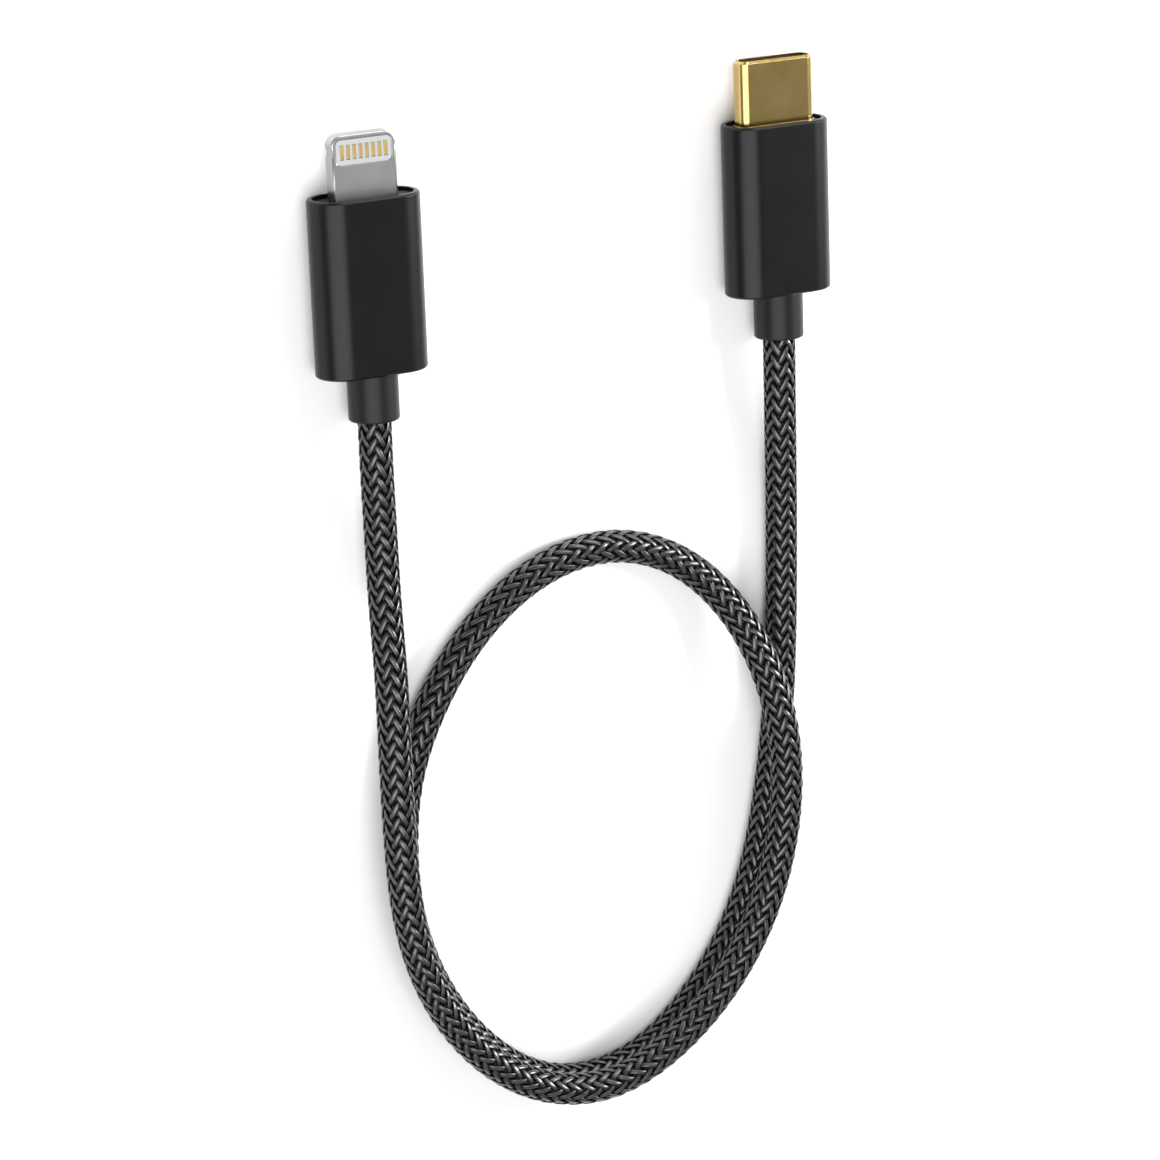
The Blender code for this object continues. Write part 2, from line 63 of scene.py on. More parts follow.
# Cord. The route's points are in metres.
CORD_DIAMETER = 0.0033
CORD_SEAT_DEPTH = 1.0 * MM  # how far the cord reaches into each collar
CURVE_POINTS = 3200  # along the centreline, close enough together to be read between as a curve
ROUTE = (
    (-0.0222, -0.0195, 0.00275), (-0.0219, -0.0260, 0.00220), (-0.0220, -0.0330, 0.00260),
    (-0.0224, -0.0405, 0.00400), (-0.0228, -0.0485, 0.00490), (-0.0228, -0.0570, 0.00510),
    (-0.0222, -0.0650, 0.00510), (-0.0199, -0.0730, 0.00510), (-0.0153, -0.0802, 0.00510),
    (-0.0086, -0.0853, 0.00510), (-0.0006, -0.0867, 0.00510), (0.0069, -0.0838, 0.00510),
    (0.0129, -0.0786, 0.00510), (0.0173, -0.0719, 0.00510), (0.0199, -0.0640, 0.00510),
    (0.0205, -0.0560, 0.00510), (0.0193, -0.0480, 0.00450), (0.0162, -0.0404, 0.00280),
    (0.0105, -0.0345, 0.00175), (0.0025, -0.0318, 0.00165), (-0.0053, -0.0333, 0.00165),
    (-0.0119, -0.0378, 0.00165), (-0.0169, -0.0442, 0.00165), (-0.0201, -0.0515, 0.00165),
    (-0.0211, -0.0595, 0.00165), (-0.0204, -0.0673, 0.00165), (-0.0175, -0.0752, 0.00165),
    (-0.0125, -0.0820, 0.00165), (-0.0052, -0.0866, 0.00165), (0.0032, -0.0864, 0.00165),
    (0.0104, -0.0817, 0.00165), (0.0158, -0.0746, 0.00165), (0.0190, -0.0666, 0.00165),
    (0.0208, -0.0580, 0.00165), (0.0219, -0.0490, 0.00165), (0.0224, -0.0395, 0.00165),
    (0.0226, -0.0300, 0.00175), (0.0224, -0.0215, 0.00230),
)
CORE_RADIUS = 1.36 * MM
CORE_SIDES = 32
CORE_STEP = 0.8 * MM

# Braid. Each strand passes over two of the other lay's strands and under the next two.
STRANDS_EACH_WAY = 12
BRAID_PITCH = 1.5 * MM  # along the cord, from one strand to the next of the same lay
BRAID_RADIUS = 1.480 * MM
BRAID_RISE = 0.095 * MM  # how far a strand moves out and in as it goes over and under
STRAND_WIDTH = 0.47 * MM
STRAND_THICKNESS = 0.16 * MM
STRAND_STEP = 0.25 * MM
STRAND_SECTION = 6  # points round a strand
STRAND_CROWN = 0.8  # 1 makes a strand's section an ellipse, and less makes it squarer
STRAND_APART = 7.3  # distance between strands in the yarn's noise, so that no two are alike
LAY_APART = 40  # the same, between the lays

# Plugs. What a box of the frame doesn't give. A softening is how far a profile's corner is rounded.
SLEEVE_WALL = 0.55 * MM
SLEEVE_CHAMFER = 0.18 * MM
SLEEVE_SOFTENING = 0.035 * MM
COLLAR_NECK_DIAMETER = 3.2 * MM
CORD_SEAT_DIAMETER = 3.6 * MM
COLLAR_SEAT_DEPTH = 1.3 * MM
COLLAR_ROUNDING = 0.2 * MM
COLLAR_SOFTENING = 0.05 * MM
TIP_CORNER = 1.1 * MM
TIP_EDGE = 0.22 * MM
NOTCH_RADIUS = 0.8 * MM
NOTCH_FROM_END = 1.6 * MM
NOTCH_OUTSET = NOTCH_RADIUS - TIP_EDGE  # so the notch just reaches the flat face
WINDOW_CORNER = 0.5 * MM
WINDOW_EDGE = 0.04 * MM
PAD_CORNER = 0.09 * MM
PAD_EDGE = 0.03 * MM
FIT_GAP = 0.03 * MM
SHELL_CORNER = 0.95 * MM
SHELL_WALL = 0.28 * MM
SHELL_CHAMFER = 0.25 * MM
SHELL_SOFTENING = 0.015 * MM
FLANGE_SOFTENING = 0.03 * MM
EIGHT_PIN_CONTACTS = 8
UPPER_CONTACTS = 7
LOWER_CONTACTS = 5
WIRES = 4

SHALLOWEST_NOTCH = 0.999  # cosine of half the arc that is left of the notch at the flat face
ARC_STEPS = 24  # segments in each quarter of a rounded outline
NOTCH_STEPS = 10  # segments in each half of a notch
COLLAR_STEPS = 10  # segments across the collar's rounded edge
EDGE_STEPS = 6  # segments across the tip's rounded edge
SMALL_EDGE_STEPS = 3  # segments across the edges of the window and the contacts
SOFTENING_STEPS = 4  # segments across a softened corner
SUPPORT = 0.02 * MM  # beside a rounding, so that the flat next to it shades flat
SAME_POINT = SUPPORT / 100

# Studio. Each light has the direction from the cable to it, its distance, width, height and power, in
# metres and watts.
WORLD_LIGHT = 0.36
FLOOR_REACH = 3.0
LIGHTS = {
    "key": ((0.91, 0.20, 0.50), 0.6, 0.13, 0.36, 5.0),
    "left_softbox": ((-0.47, -0.20, 0.84), 0.5, 0.40, 0.60, 2.8),
    "end_strip": ((0.42, 0.86, 0.36), 0.5, 0.40, 0.14, 1.3),
}


# ---------------------------------------------------------------- outlines and profiles


def rounded_outline(width, height, radius):
    """Points of a rounded rectangle, anticlockwise. A radius of half the height makes a stadium."""
    points = []
    for quarter in range(4):
        sign_x = (1, -1, -1, 1)[quarter]
        sign_y = (1, 1, -1, -1)[quarter]
        centre = Vector((sign_x * (width / 2 - radius), sign_y * (height / 2 - radius)))
        arc = []
        for step in range(ARC_STEPS + 1):
            angle = math.pi / 2 * (quarter + step / ARC_STEPS)
            arc.append(centre + radius * Vector((math.cos(angle), math.sin(angle))))
        before = Vector((math.sin(math.pi / 2 * quarter), -math.cos(math.pi / 2 * quarter)))
        after = Vector((-math.cos(math.pi / 2 * quarter), -math.sin(math.pi / 2 * quarter)))
        flat_before = (height if quarter % 2 == 0 else width) / 2 - radius
        flat_after = (width if quarter % 2 == 0 else height) / 2 - radius
        if flat_before > SUPPORT:
            arc.insert(0, arc[0] + before * SUPPORT)
        if flat_after > SUPPORT:
            arc.append(arc[-1] + after * SUPPORT)
        points += arc
    kept = [p for i, p in enumerate(points) if (p - points[i - 1]).length > SAME_POINT]
    return [(p.x, p.y) for p in kept]


def circle(radius):
    angles = [math.tau * i / (4 * ARC_STEPS) for i in range(4 * ARC_STEPS)]
    return [(radius * math.cos(angle), radius * math.sin(angle)) for angle in angles]


def soften(corners, reach, closed=True):
    """Rounds each corner of a profile, with a support point on both sides of each rounding."""
    points = [Vector(corner) for corner in corners]
    count = len(points)
    softened = []
    for i, point in enumerate(points):
        if not closed and i in (0, count - 1):
            softened.append(point)
            continue
        before = (points[i - 1] - point).normalized()
        after = (points[(i + 1) % count] - point).normalized()
        start, end = point + before * reach, point + after * reach
        softened.append(start + before * SUPPORT)
        for step in range(SOFTENING_STEPS + 1):
            t = step / SOFTENING_STEPS
            softened.append(start * (1 - t) ** 2 + point * 2 * t * (1 - t) + end * t**2)
        softened.append(end + after * SUPPORT)
    return softened


# ---------------------------------------------------------------- pieces


def add_piece(name, vertices, faces, material, replaced=(), origin=(0.0, 0.0, 0.0)):
    """A piece of the visual model, smooth shaded, with its faces pointing out."""
    mesh = bpy.data.meshes.new(name)
    mesh.from_pydata([tuple(v) for v in vertices], [], faces)
    bm = bmesh.new()
    bm.from_mesh(mesh)
    bmesh.ops.recalc_face_normals(bm, faces=bm.faces)
    bm.to_mesh(mesh)
    bm.free()
    mesh.materials.append(material)
    mesh.shade_smooth()
    obj = bpy.data.objects.new(name, mesh)
    obj.location = origin
    bpy.context.scene.collection.objects.link(obj)
    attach(obj, "root")
    if replaced:
        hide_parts(*replaced)
    return obj


def ring_faces(ring_count, points, closed):
    """Faces between rings of that many points. Rings that don't close on each other get two end caps."""
    faces = []
    for k in range(ring_count if closed else ring_count - 1):
        here, there = k * points, (k + 1) % ring_count * points
        for i in range(points):
            j = (i + 1) % points
            faces.append((here + i, here + j, there + j, there + i))
    if not closed:
        last = (ring_count - 1) * points
        faces.append(tuple(reversed(range(points))))
        faces.append(tuple(range(last, last + points)))
    return faces


def joined(rings):
    return [point for ring in rings for point in ring]


def swept_ring(outline_at, profile):
    """Vertices and faces of a ring about the Y axis: the outline at each (inset, y) of a closed profile."""
    rings = [[(x, y, z) for x, z in outline_at(inset)] for inset, y in profile]
    return joined(rings), ring_faces(len(rings), len(rings[0]), True)


def plug_origin(prefix):
    """The middle of a sleeve's front rim."""
    low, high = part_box(f"{prefix}_sleeve")
    return Vector(((low.x + high.x) / 2, high.y, (low.z + high.z) / 2))


def size_of(node):
    low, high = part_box(node)
    return high - low


# ---------------------------------------------------------------- materials


def grey(value):
    return (value, value, value)


class Nodes:
    """A material's node tree, with short ways to add to it."""

    def __init__(self, name):
        self.material = bpy.data.materials.new(name)
        self.material.use_nodes = True
        self.tree = self.material.node_tree
        self.shader = self.tree.nodes["Principled BSDF"]
        self.place = self.tree.nodes.new("ShaderNodeTexCoord").outputs["Object"]

    def add(self, kind, values=None, **settings):
        node = self.tree.nodes.new(kind)
        for key, value in settings.items():
            setattr(node, key, value)
        for key, value in (values or {}).items():
            if isinstance(value, bpy.types.NodeSocket):
                self.tree.links.new(value, node.inputs[key])
            else:
                node.inputs[key].default_value = value
        return node

    def set(self, **values):
        for key, value in values.items():
            self.shader.inputs[key.replace("_", " ")].default_value = value

    def link(self, output, socket):
        self.tree.links.new(output, self.shader.inputs[socket])

    def stretched(self, scale):
        return self.add("ShaderNodeMapping", {"Vector": self.place, "Scale": scale}).outputs["Vector"]

    def noise(self, scale, detail=3.0, vector=None):
        values = {"Vector": vector or self.place, "Scale": scale, "Detail": detail}
        return self.add("ShaderNodeTexNoise", values).outputs["Fac"]

    def math(self, operation, first, second):
        return self.add("ShaderNodeMath", {0: first, 1: second}, operation=operation).outputs[0]

    def attribute(self, name):
        return self.add("ShaderNodeAttribute", attribute_name=name).outputs["Fac"]

    def ranged(self, value, low, high, start=0.0, end=1.0):
        values = {"Value": value, "From Min": start, "From Max": end, "To Min": low, "To Max": high}
        return self.add("ShaderNodeMapRange", values).outputs["Result"]

    def blend(self, factor, first, second):
        mix = self.add("ShaderNodeMix", data_type="RGBA")
        self.tree.links.new(factor, mix.inputs["Factor"])
        for socket, value in (("A", first), ("B", second)):
            place = [s for s in mix.inputs if s.name == socket and s.type == "RGBA"][0]
            if isinstance(value, bpy.types.NodeSocket):
                self.tree.links.new(value, place)
            else:
                place.default_value = (*value, 1.0)
        return [s for s in mix.outputs if s.type == "RGBA"][0]

    def bump(self, height, strength, distance):
        values = {"Height": height, "Strength": strength, "Distance": distance}
        self.link(self.add("ShaderNodeBump", values).outputs["Normal"], "Normal")


def braid_nylon():
    """Dark nylon yarn with fine filaments, with shade painted into its colour at a strand's edges and where
    it dips under others.
    """
    m = Nodes("braid_nylon")
    across = m.attribute("across")
    stretch = m.math("MULTIPLY", across, 4.5)  # makes the noise long and thin, like filaments
    values = {"X": stretch, "Y": m.attribute("along"), "Z": m.attribute("strand")}
    place = m.add("ShaderNodeCombineXYZ", values).outputs["Vector"]
    filaments = m.noise(1.6, 2.0, place)
    tone = m.noise(0.35, 1.0, place)
    # Painted shade at a strand's edges, where it turns down between its neighbours: full in the middle,
    # falling to 0.15 at the edges.
    middle = m.ranged(m.math("ABSOLUTE", across, 0.0), 1.0, 0.15, 0.45, 1.0)
    # Painted shade where the strand dips under the other lay, read from its rise. Their product is the
    # painted lighting, which also dims the gloss and sheen.
    painted_lighting = m.math("MULTIPLY", middle, m.ranged(m.attribute("rise"), 0.03, 1.0, -0.4, 0.7))
    light = m.blend(filaments, grey(0.005), (0.048, 0.048, 0.049))
    varied = m.blend(tone, light, (0.008, 0.008, 0.0085))
    # Painted shade: the colour goes to near black where the painted lighting is low.
    m.link(m.blend(painted_lighting, grey(0.001), varied), "Base Color")
    m.link(m.ranged(filaments, 0.20, 0.36), "Roughness")
    m.link(painted_lighting, "Specular IOR Level")
    m.link(m.math("MULTIPLY", painted_lighting, 0.30), "Sheen Weight")
    m.set(Sheen_Roughness=0.3)
    m.bump(filaments, 0.35, 0.03 * MM)
    return m.material


def core_jacket():
    """The dull dark rubber under the braid."""
    m = Nodes("core_jacket")
    mottle = m.noise(3000.0)
    m.link(m.blend(mottle, grey(0.002), grey(0.007)), "Base Color")
    m.link(m.ranged(mottle, 0.6, 0.8), "Roughness")
    m.bump(mottle, 0.2, 0.02 * MM)
    return m.material


def anodised_aluminium():
    """Bead-blasted black anodising: an even fine grain, with a slightly uneven tone and gloss."""
    m = Nodes("anodised_aluminium")
    grain = m.noise(26000.0, 2.0)
    patches = m.noise(260.0, 3.0)
    m.link(m.blend(patches, (0.0018, 0.0018, 0.0019), (0.0036, 0.0036, 0.0039)), "Base Color")
    m.link(m.math("ADD", m.ranged(grain, 0.27, 0.37), m.ranged(patches, -0.03, 0.03)), "Roughness")
    m.set(Specular_IOR_Level=0.24)
    m.bump(grain, 0.10, 0.01 * MM)
    return m.material


def moulded_plastic(name, dark, pale, roughness):
    """Moulded plastic with a fine spark-eroded texture."""
    m = Nodes(name)
    grain = m.noise(9000.0, 4.0)
    patches = m.noise(500.0, 2.0)
    m.link(m.blend(patches, dark, pale), "Base Color")
    m.link(m.ranged(grain, roughness - 0.05, roughness + 0.07), "Roughness")
    m.set(Specular_IOR_Level=0.27)
    m.bump(grain, 0.25, 0.01 * MM)
    return m.material


def plated_metal(name, dark, pale, roughness):
    """Plated metal with faint drawing lines, small dulled patches and its colour a little uneven."""
    m = Nodes(name)
    lines = m.noise(1.0, 3.0, m.stretched((1800.0, 26000.0, 26000.0)))
    patches = m.noise(420.0, 3.0)
    wear = m.noise(5200.0, 4.0)
    m.link(m.blend(m.ranged(patches, 0.0, 1.0, 0.3, 0.7), dark, pale), "Base Color")
    uneven = m.math("ADD", m.ranged(lines, -0.03, 0.03), m.ranged(wear, -0.02, 0.02))
    m.link(m.math("ADD", uneven, roughness), "Roughness")
    m.set(Metallic=1.0)
    m.bump(lines, 0.04, 0.006 * MM)
    return m.material


def fibre_board():
    """Green solder mask over a faint glass weave, with paler tracks along it."""
    m = Nodes("fibre_board")
    weave = m.add("ShaderNodeTexBrick", {"Vector": m.stretched((1600.0, 1600.0, 1600.0)), "Scale": 1.0})
    mottle = m.noise(1500.0)
    base = m.blend(mottle, (0.010, 0.090, 0.035), (0.022, 0.150, 0.060))
    m.link(m.blend(m.ranged(weave.outputs["Fac"], 0.0, 0.5), base, (0.05, 0.26, 0.10)), "Base Color")
    m.link(m.ranged(mottle, 0.25, 0.4), "Roughness")
    m.bump(weave.outputs["Fac"], 0.2, 0.02 * MM)
    return m.material


def pale_floor():
    m = Nodes("pale_floor")
    mottle = m.noise(60.0, 4.0)
    m.link(m.blend(mottle, grey(0.93), grey(0.95)), "Base Color")
    m.set(Roughness=0.9, Specular_IOR_Level=0.1)
    return m.material


def make_materials():
    return {
        "braid": braid_nylon(),
        "core": core_jacket(),
        "anodised": anodised_aluminium(),
        "cap": moulded_plastic("black_cap", grey(0.004), grey(0.009), 0.55),
        "collar": moulded_plastic("black_collar", grey(0.002), grey(0.0045), 0.40),
        "nickel": plated_metal("satin_nickel", (0.35, 0.35, 0.345), (0.41, 0.41, 0.405), 0.34),
        "gold_shell": plated_metal("gold_plate", (0.45, 0.32, 0.115), (0.52, 0.385, 0.155), 0.20),
        "gold_contact": plated_metal("contact_gold", (0.50, 0.345, 0.13), (0.60, 0.43, 0.18), 0.40),
        "insert": moulded_plastic("pale_insert", (0.34, 0.35, 0.36), (0.40, 0.41, 0.42), 0.45),
        "insulator": moulded_plastic("black_insulator", grey(0.008), grey(0.016), 0.5),
        "latch": plated_metal("spring_steel", (0.42, 0.42, 0.43), (0.56, 0.56, 0.57), 0.28),
        "moulding": moulded_plastic("inner_moulding", (0.62, 0.60, 0.55), (0.76, 0.74, 0.69), 0.55),
        "board": fibre_board(),
        "chip": moulded_plastic("chip_epoxy", (0.010, 0.010, 0.011), (0.020, 0.020, 0.022), 0.45),
        "wire": moulded_plastic("wire_jacket", (0.42, 0.03, 0.025), (0.58, 0.06, 0.05), 0.4),
        "floor": pale_floor(),
    }


def dress_kept_nodes(materials):
    """Gives the CAD nodes that stay visible, or sit inside, their finished materials."""
    dressed = {}
    for prefix in ("eight_pin", "type_c"):
        dressed[f"{prefix}_mouth_cap"] = "cap"
        dressed[f"{prefix}_rear_cap"] = "cap"
        dressed[f"{prefix}_inner_moulding"] = "moulding"
        dressed[f"{prefix}_circuit_board"] = "board"
        dressed[f"{prefix}_chip"] = "chip"
        for number in range(WIRES):
            dressed[f"{prefix}_wire_{number + 1}"] = "wire"
    dressed["eight_pin_contact_insert"] = "insert"
    dressed["type_c_insulator"] = "insulator"
    dressed["type_c_latch_plate"] = "latch"
    for side, count in (("upper", UPPER_CONTACTS), ("lower", LOWER_CONTACTS)):
        for number in range(count):
            dressed[f"type_c_contact_{side}_{number + 1}"] = "gold_contact"
    for node, material in dressed.items():
        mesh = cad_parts[node].data
        mesh.materials.clear()
        mesh.materials.append(materials[material])


# ---------------------------------------------------------------- cord


def cord_ends():
    """Where the cord starts and ends, just inside each collar's seat."""
    ends = []
    for prefix in ("eight_pin", "type_c"):
        low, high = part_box(f"{prefix}_collar")
        ends.append(((low.x + high.x) / 2, low.y + CORD_SEAT_DEPTH, (low.z + high.z) / 2))
    return ends


def smooth_curve(route, count):
    """Points at equal steps along the cubic spline through the route.

    The curve leaves and reaches its ends along the plugs' axes, and never dips into the surface it lies on.
    """
    places = np.array(route)
    gaps = np.linalg.norm(np.diff(places, axis=0), axis=1)
    knots = np.concatenate(([0.0], np.cumsum(gaps)))
    slopes = np.diff(places, axis=0) / gaps[:, None]
    first, last = np.array((0.0, -1.0, 0.0)), np.array((0.0, 1.0, 0.0))
    system = np.zeros((len(places), len(places)))
    right = np.zeros_like(places)
    system[0, :2] = 2 * gaps[0], gaps[0]
    system[-1, -2:] = gaps[-1], 2 * gaps[-1]
    right[0] = 6 * (slopes[0] - first)
    right[-1] = 6 * (last - slopes[-1])
    for i in range(1, len(places) - 1):
        system[i, i - 1 : i + 2] = gaps[i - 1], 2 * (gaps[i - 1] + gaps[i]), gaps[i]
        right[i] = 6 * (slopes[i] - slopes[i - 1])
    bends = np.linalg.solve(system, right)
    at = np.linspace(0.0, knots[-1], count)
    i = np.clip(np.searchsorted(knots, at) - 1, 0, len(gaps) - 1)
    gap, before, after = gaps[i, None], (at - knots[i])[:, None], (knots[i + 1] - at)[:, None]
    points = (
        (bends[i] * after**3 + bends[i + 1] * before**3) / (6 * gap)
        + (places[i] / gap - bends[i] * gap / 6) * after
        + (places[i + 1] / gap - bends[i + 1] * gap / 6) * before
    )
    points[:, 2] = np.maximum(points[:, 2], CORD_DIAMETER / 2)
    return points


class Centreline:
    """The cord's middle line, with a frame that doesn't twist, at any distance along it."""

    def __init__(self, points):
        steps = np.linalg.norm(np.diff(points, axis=0), axis=1)
        self.at = np.concatenate(([0.0], np.cumsum(steps)))
        self.length = self.at[-1]
        self.points = points
        tangents = np.gradient(points, self.at, axis=0)
        tangents /= np.linalg.norm(tangents, axis=1)[:, None]
        side = np.array((1.0, 0.0, 0.0))
        sides = []
        for tangent in tangents:
            side = side - tangent * side.dot(tangent)
            side = side / np.linalg.norm(side)
            sides.append(side)
        self.sides = np.array(sides)
        self.tops = np.cross(tangents, self.sides)

    def read(self, table, at):
        return np.stack([np.interp(at, self.at, table[:, axis]) for axis in range(3)], axis=-1)

    def surface(self, at, angle, radius):
        """Points at the distances along the line, angles round it and radii from it."""
        side = np.cos(angle)[..., None] * self.read(self.sides, at)
        top = np.sin(angle)[..., None] * self.read(self.tops, at)
        return self.read(self.points, at) + radius[..., None] * (side + top)


def make_core(line, material):
    """The round core that shows as the dark gaps between strands."""
    rings = int(line.length / CORE_STEP) + 1
    at = np.linspace(0.0, line.length, rings)
    angle = np.linspace(0.0, math.tau, CORE_SIDES, endpoint=False)
    at, angle = np.meshgrid(at, angle, indexing="ij")
    vertices = line.surface(at, angle, np.full(at.shape, CORE_RADIUS)).reshape(-1, 3)
    return add_piece("cord_core", vertices, ring_faces(rings, CORE_SIDES, False), material)


def strand_section():
    """Offsets across and out of a flat, crowned strand."""
    angle = np.linspace(0.0, math.tau, STRAND_SECTION, endpoint=False)
    across = np.sign(np.cos(angle)) * np.abs(np.cos(angle)) ** STRAND_CROWN
    return across * STRAND_WIDTH / 2, np.sin(angle) * STRAND_THICKNESS / 2


def make_braid_lay(name, line, turn, material):
    """All the strands that wind one way.

    The turn is 1 or -1. A lay of 1 goes over where -1 goes under. Each vertex notes where it is on its
    strand, for the yarn's material: across from -1 to 1, along in millimetres, and rise from -1 to 1.
    """
    twist = math.tau / (STRANDS_EACH_WAY * BRAID_PITCH)
    lean = math.atan(twist * BRAID_RADIUS)
    across, out = strand_section()
    margin = STRAND_WIDTH
    count = int((line.length - 2 * margin) / STRAND_STEP) + 1
    middle = np.linspace(margin, line.length - margin, count)[:, None]
    vertices, faces, notes = [], [], {"across": [], "along": [], "strand": [], "rise": []}
    for number in range(STRANDS_EACH_WAY):
        crossing = 2 * number + turn * STRANDS_EACH_WAY * twist * middle / math.pi
        wave = np.cos(math.pi / 2 * (crossing - 0.5))
        wave *= 1.5 - 0.5 * wave**2  # flatter over and under, and steeper between
        rise = turn * BRAID_RISE * wave
        start = math.tau * number / STRANDS_EACH_WAY
        angle = start + turn * twist * middle + across * math.cos(lean) / BRAID_RADIUS
        at = middle - turn * across * math.sin(lean)
        first = len(vertices) * count * STRAND_SECTION
        vertices.append(line.surface(at, angle, BRAID_RADIUS + rise + out).reshape(-1, 3))
        faces += [tuple(first + i for i in face) for face in ring_faces(count, STRAND_SECTION, False)]
        whole = np.ones((count, STRAND_SECTION))
        notes["across"].append(whole * across / (STRAND_WIDTH / 2))
        notes["along"].append(whole * middle / MM)
        notes["strand"].append(whole * (number * STRAND_APART + LAY_APART * (1 + turn)))
        notes["rise"].append(whole * rise / BRAID_RISE)
    obj = add_piece(name, np.concatenate(vertices), faces, material)
    for note, values in notes.items():
        attribute = obj.data.attributes.new(note, "FLOAT", "POINT")
        attribute.data.foreach_set("value", np.concatenate(values).ravel().astype(np.float32))
    return obj


def make_cord(materials):
    """The core and the two lays, from collar to collar."""
    start, end = cord_ends()
    points = smooth_curve([start, *ROUTE, end], CURVE_POINTS)
    line = Centreline(points)
    core = make_core(line, materials["core"])
    right = make_braid_lay("braid_right_lay", line, 1, materials["braid"])
    left = make_braid_lay("braid_left_lay", line, -1, materials["braid"])
    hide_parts("cord")


# ---------------------------------------------------------------- plugs


def make_sleeve(prefix, material):
    """The anodised stadium tube, with a narrow chamfer round each rim."""
    size = size_of(f"{prefix}_sleeve")
    corners = [
        (SLEEVE_WALL, -size.y),
        (SLEEVE_CHAMFER, -size.y),
        (0.0, SLEEVE_CHAMFER - size.y),
        (0.0, -SLEEVE_CHAMFER),
        (SLEEVE_CHAMFER, 0.0),
        (SLEEVE_WALL, 0.0),
    ]

    def section(inset):
        height = size.z - 2 * inset
        return rounded_outline(size.x - 2 * inset, height, height / 2)

    vertices, faces = swept_ring(section, soften(corners, SLEEVE_SOFTENING))
    name = f"{prefix}_sleeve"
    add_piece(f"{name}_fine", vertices, faces, material, [name], plug_origin(prefix))


def make_collar(prefix, material):
    """The round strain relief, with a neck, a softly rounded end and the seat that the cord enters."""
    origin = plug_origin(prefix)
    low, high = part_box(f"{prefix}_collar")
    radius = (high.x - low.x) / 2
    bottom, neck_top = low.y - origin.y, high.y - origin.y
    shoulder = -size_of(f"{prefix}_sleeve").y - FIT_GAP
    seat = CORD_SEAT_DIAMETER / 2
    neck = COLLAR_NECK_DIAMETER / 2
    profile = [(seat, bottom + COLLAR_SEAT_DEPTH), (seat, bottom)]
    for step in range(COLLAR_STEPS + 1):
        angle = math.pi / 2 * step / COLLAR_STEPS
        reach = radius - COLLAR_ROUNDING * (1 - math.sin(angle))
        profile.append((reach, bottom + COLLAR_ROUNDING * (1 - math.cos(angle))))
    upper = [
        (radius, bottom + COLLAR_ROUNDING + SUPPORT),
        (radius, shoulder),
        (neck, shoulder),
        (neck, neck_top),
    ]
    profile += soften(upper, COLLAR_SOFTENING, closed=False)
    rings = [[(x, y, z) for x, z in circle(reach)] for reach, y in profile]
    faces = ring_faces(len(rings), len(rings[0]), False)
    name = f"{prefix}_collar"
    add_piece(f"{name}_fine", joined(rings), faces, material, [name], origin)


def tip_outline(inset, width, end, start):
    """The eight-pin tip in plan, with rounded end corners and a round notch in each side."""
    half = width / 2 - inset
    corner = TIP_CORNER - inset
    notch_x = width / 2 + NOTCH_OUTSET
    spread = math.acos(min((notch_x - half) / NOTCH_RADIUS, SHALLOWEST_NOTCH))
    right = [(half, start)]
    for step in range(2 * NOTCH_STEPS + 1):
        angle = math.pi + spread * (1 - step / NOTCH_STEPS)
        notch_y = end - NOTCH_FROM_END + NOTCH_RADIUS * math.sin(angle)
        right.append((min(notch_x + NOTCH_RADIUS * math.cos(angle), half), notch_y))
    top = end - inset - corner
    for step in range(ARC_STEPS + 1):
        angle = math.pi / 2 * step / ARC_STEPS
        right.append((half - corner + corner * math.cos(angle), top + corner * math.sin(angle)))
    return right + [(-x, y) for x, y in reversed(right)]


def rounded_side(half, reach, steps):
    """(inset, z) from the lower face to the upper one round an edge-rounded side, with supports."""
    lower = []
    for step in range(steps + 1):
        angle = math.pi / 2 * step / steps
        lower.append((reach * (1 - math.sin(angle)), reach * (1 - math.cos(angle)) - half))
    lower = [(reach + SUPPORT, -half), *lower, (0.0, reach + SUPPORT - half)]
    return lower + [(inset, -z) for inset, z in reversed(lower)]


def make_tip_frame(material):
    """The eight-pin tip's metal frame, with rounded edges and a window through it."""
    origin = plug_origin("eight_pin")
    low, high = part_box("eight_pin_tip_frame")
    width, half = high.x - low.x, (high.z - low.z) / 2
    start, end = low.y - origin.y, high.y - origin.y
    window = size_of("eight_pin_contact_insert")
    insert_low, insert_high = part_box("eight_pin_contact_insert")
    window_y = (insert_low.y + insert_high.y) / 2 - origin.y
    side = rounded_side(half, TIP_EDGE, EDGE_STEPS)
    outer = [(tip_outline(inset, width, end, start), z) for inset, z in side]
    inner = []
    for inset, z in rounded_side(half, WINDOW_EDGE, SMALL_EDGE_STEPS):
        grow = 2 * (FIT_GAP + inset)
        points = rounded_outline(window.x + grow, window.y + grow, WINDOW_CORNER + inset)
        inner.append(([(x, y + window_y) for x, y in points], z))
    bm = bmesh.new()
    rims = []
    for loops in (outer, inner):
        rings = [[bm.verts.new((x, y, z)) for x, y in outline] for outline, z in loops]
        for lower, upper in zip(rings, rings[1:]):
            for i in range(len(lower)):
                j = (i + 1) % len(lower)
                bm.faces.new((lower[i], lower[j], upper[j], upper[i]))
        rims.append((rings[0], rings[-1]))
    for face in range(2):
        edges = []
        for rim in rims:
            ring = rim[face]
            edges += [bm.edges.get((ring[i], ring[(i + 1) % len(ring)])) for i in range(len(ring))]
        bmesh.ops.triangle_fill(bm, edges=edges, use_beauty=True)
    bm.verts.index_update()
    vertices = [v.co.copy() for v in bm.verts]
    faces = [tuple(v.index for v in face.verts) for face in bm.faces]
    bm.free()
    name = "eight_pin_tip_frame"
    add_piece(f"{name}_fine", vertices, faces, material, [name], origin)


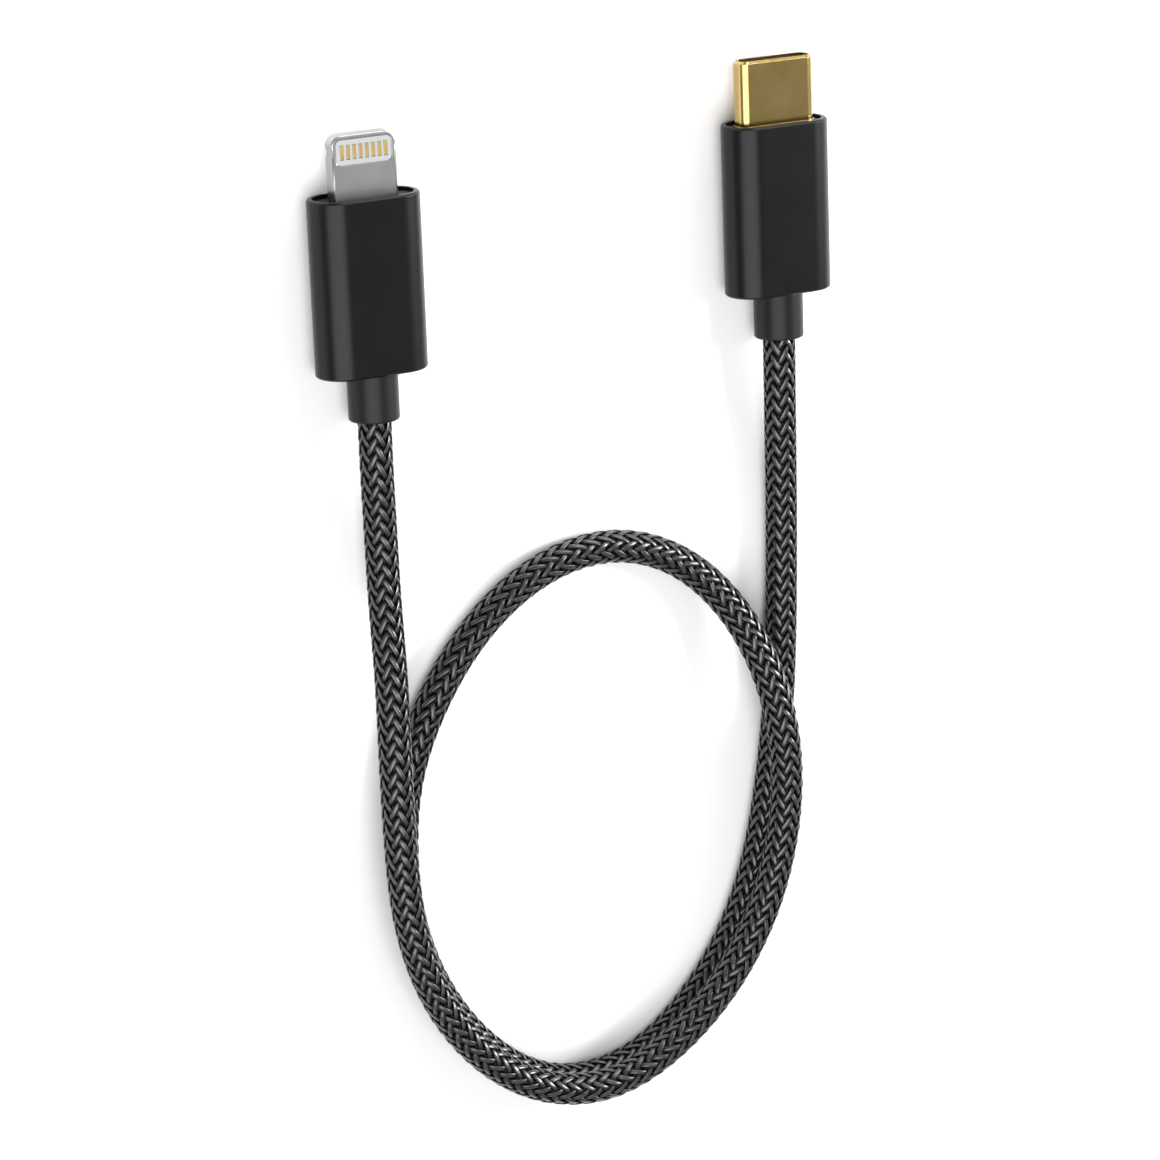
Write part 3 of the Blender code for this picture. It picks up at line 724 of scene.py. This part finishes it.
def make_contacts(material):
    """The eight flush gold pads on each face of the insert, with rounded corners and edges."""
    origin = plug_origin("eight_pin")
    for side in ("front", "back"):
        for number in range(EIGHT_PIN_CONTACTS):
            node = f"eight_pin_contact_{side}_{number + 1}"
            low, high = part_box(node)
            middle, size = (low + high) / 2 - origin, high - low
            rings = []
            for inset, z in rounded_side(size.z / 2, PAD_EDGE, SMALL_EDGE_STEPS):
                points = rounded_outline(size.x - 2 * inset, size.y - 2 * inset, PAD_CORNER - inset)
                rings.append([(x + middle.x, y + middle.y, z + middle.z) for x, y in points])
            faces = ring_faces(len(rings), len(rings[0]), False)
            add_piece(f"{node}_fine", joined(rings), faces, material, [node], origin)


def make_shell(material):
    """The USB-C shell, a rounded tube with a bevelled mouth, and the small flange at its base."""
    origin = plug_origin("type_c")
    low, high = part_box("type_c_shell")
    width, height = high.x - low.x, high.z - low.z
    back, front = low.y - origin.y, high.y - origin.y
    corners = [
        (SHELL_WALL, back),
        (0.0, back),
        (0.0, front - SHELL_CHAMFER),
        (SHELL_CHAMFER, front),
        (SHELL_WALL, front - SHELL_WALL + SHELL_CHAMFER),
    ]

    def section(inset):
        return rounded_outline(width - 2 * inset, height - 2 * inset, SHELL_CORNER - inset)

    vertices, faces = swept_ring(section, soften(corners, SHELL_SOFTENING))
    add_piece("type_c_shell_fine", vertices, faces, material, ["type_c_shell"], origin)

    low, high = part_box("type_c_flange")
    wide, tall = high.x - low.x, high.z - low.z
    base, top = low.y - origin.y, high.y - origin.y
    rim = (wide - width) / 2 - FIT_GAP
    corners = [(rim, base), (0.0, base), (0.0, top), (rim, top)]

    def flange_section(inset):
        return rounded_outline(wide - 2 * inset, tall - 2 * inset, SHELL_CORNER + rim - inset)

    vertices, faces = swept_ring(flange_section, soften(corners, FLANGE_SOFTENING))
    add_piece("type_c_flange_fine", vertices, faces, material, ["type_c_flange"], origin)


def make_plugs(materials):
    for prefix in ("eight_pin", "type_c"):
        make_sleeve(prefix, materials["anodised"])
        make_collar(prefix, materials["collar"])
    make_tip_frame(materials["nickel"])
    make_contacts(materials["gold_contact"])
    make_shell(materials["gold_shell"])


# ---------------------------------------------------------------- studio


def camera_axes():
    """The camera's right, up and back directions."""
    yaw, pitch, roll = CAMERA_YAW, CAMERA_PITCH, CAMERA_ROLL
    back = Vector((-math.sin(yaw) * math.cos(pitch), math.sin(pitch), math.cos(yaw) * math.cos(pitch)))
    level = Vector((math.cos(yaw), 0.0, math.sin(yaw)))
    rise = back.cross(level)
    right = level * math.cos(roll) - rise * math.sin(roll)
    return right, back.cross(right), back


def make_camera():
    right, up, back = camera_axes()
    data = bpy.data.cameras.new("camera")
    data.lens = CAMERA_LENS
    data.sensor_width = SENSOR_WIDTH
    camera = bpy.data.objects.new("camera", data)
    bpy.context.scene.collection.objects.link(camera)
    turn = Matrix((right, up, back)).transposed().to_4x4()
    camera.matrix_world = Matrix.Translation(CAMERA_TARGET + back * CAMERA_DISTANCE) @ turn
    bpy.context.scene.camera = camera


def area_light(name, direction, distance, width, height, power):
    """A soft light at that distance from the cable, facing it."""
    data = bpy.data.lights.new(name, "AREA")
    data.shape = "RECTANGLE"
    data.size, data.size_y, data.energy = width, height, power
    light = bpy.data.objects.new(name, data)
    bpy.context.scene.collection.objects.link(light)
    towards = Vector(direction).normalized()
    light.location = CAMERA_TARGET + towards * distance
    light.rotation_mode = "QUATERNION"
    light.rotation_quaternion = towards.to_track_quat("Z", "Y")


def make_studio(material):
    """The pale floor, a white world, and the three area lights."""
    mesh = bpy.data.meshes.new("floor")
    corners = [(FLOOR_REACH * x, FLOOR_REACH * y, 0) for x, y in ((-1, -1), (1, -1), (1, 1), (-1, 1))]
    mesh.from_pydata(corners, [], [(0, 1, 2, 3)])
    mesh.materials.append(material)
    floor = bpy.data.objects.new("floor", mesh)
    bpy.context.scene.collection.objects.link(floor)
    world = bpy.data.worlds.new("studio")
    world.use_nodes = True
    background = world.node_tree.nodes["Background"]
    background.inputs["Color"].default_value = (1.0, 1.0, 1.0, 1.0)
    background.inputs["Strength"].default_value = WORLD_LIGHT
    bpy.context.scene.world = world
    for name, light in LIGHTS.items():
        area_light(name, *light)
    bpy.context.scene.view_settings.view_transform = "Standard"


make_camera()
MATERIALS = make_materials()
make_cord(MATERIALS)
make_plugs(MATERIALS)
dress_kept_nodes(MATERIALS)
make_studio(MATERIALS["floor"])
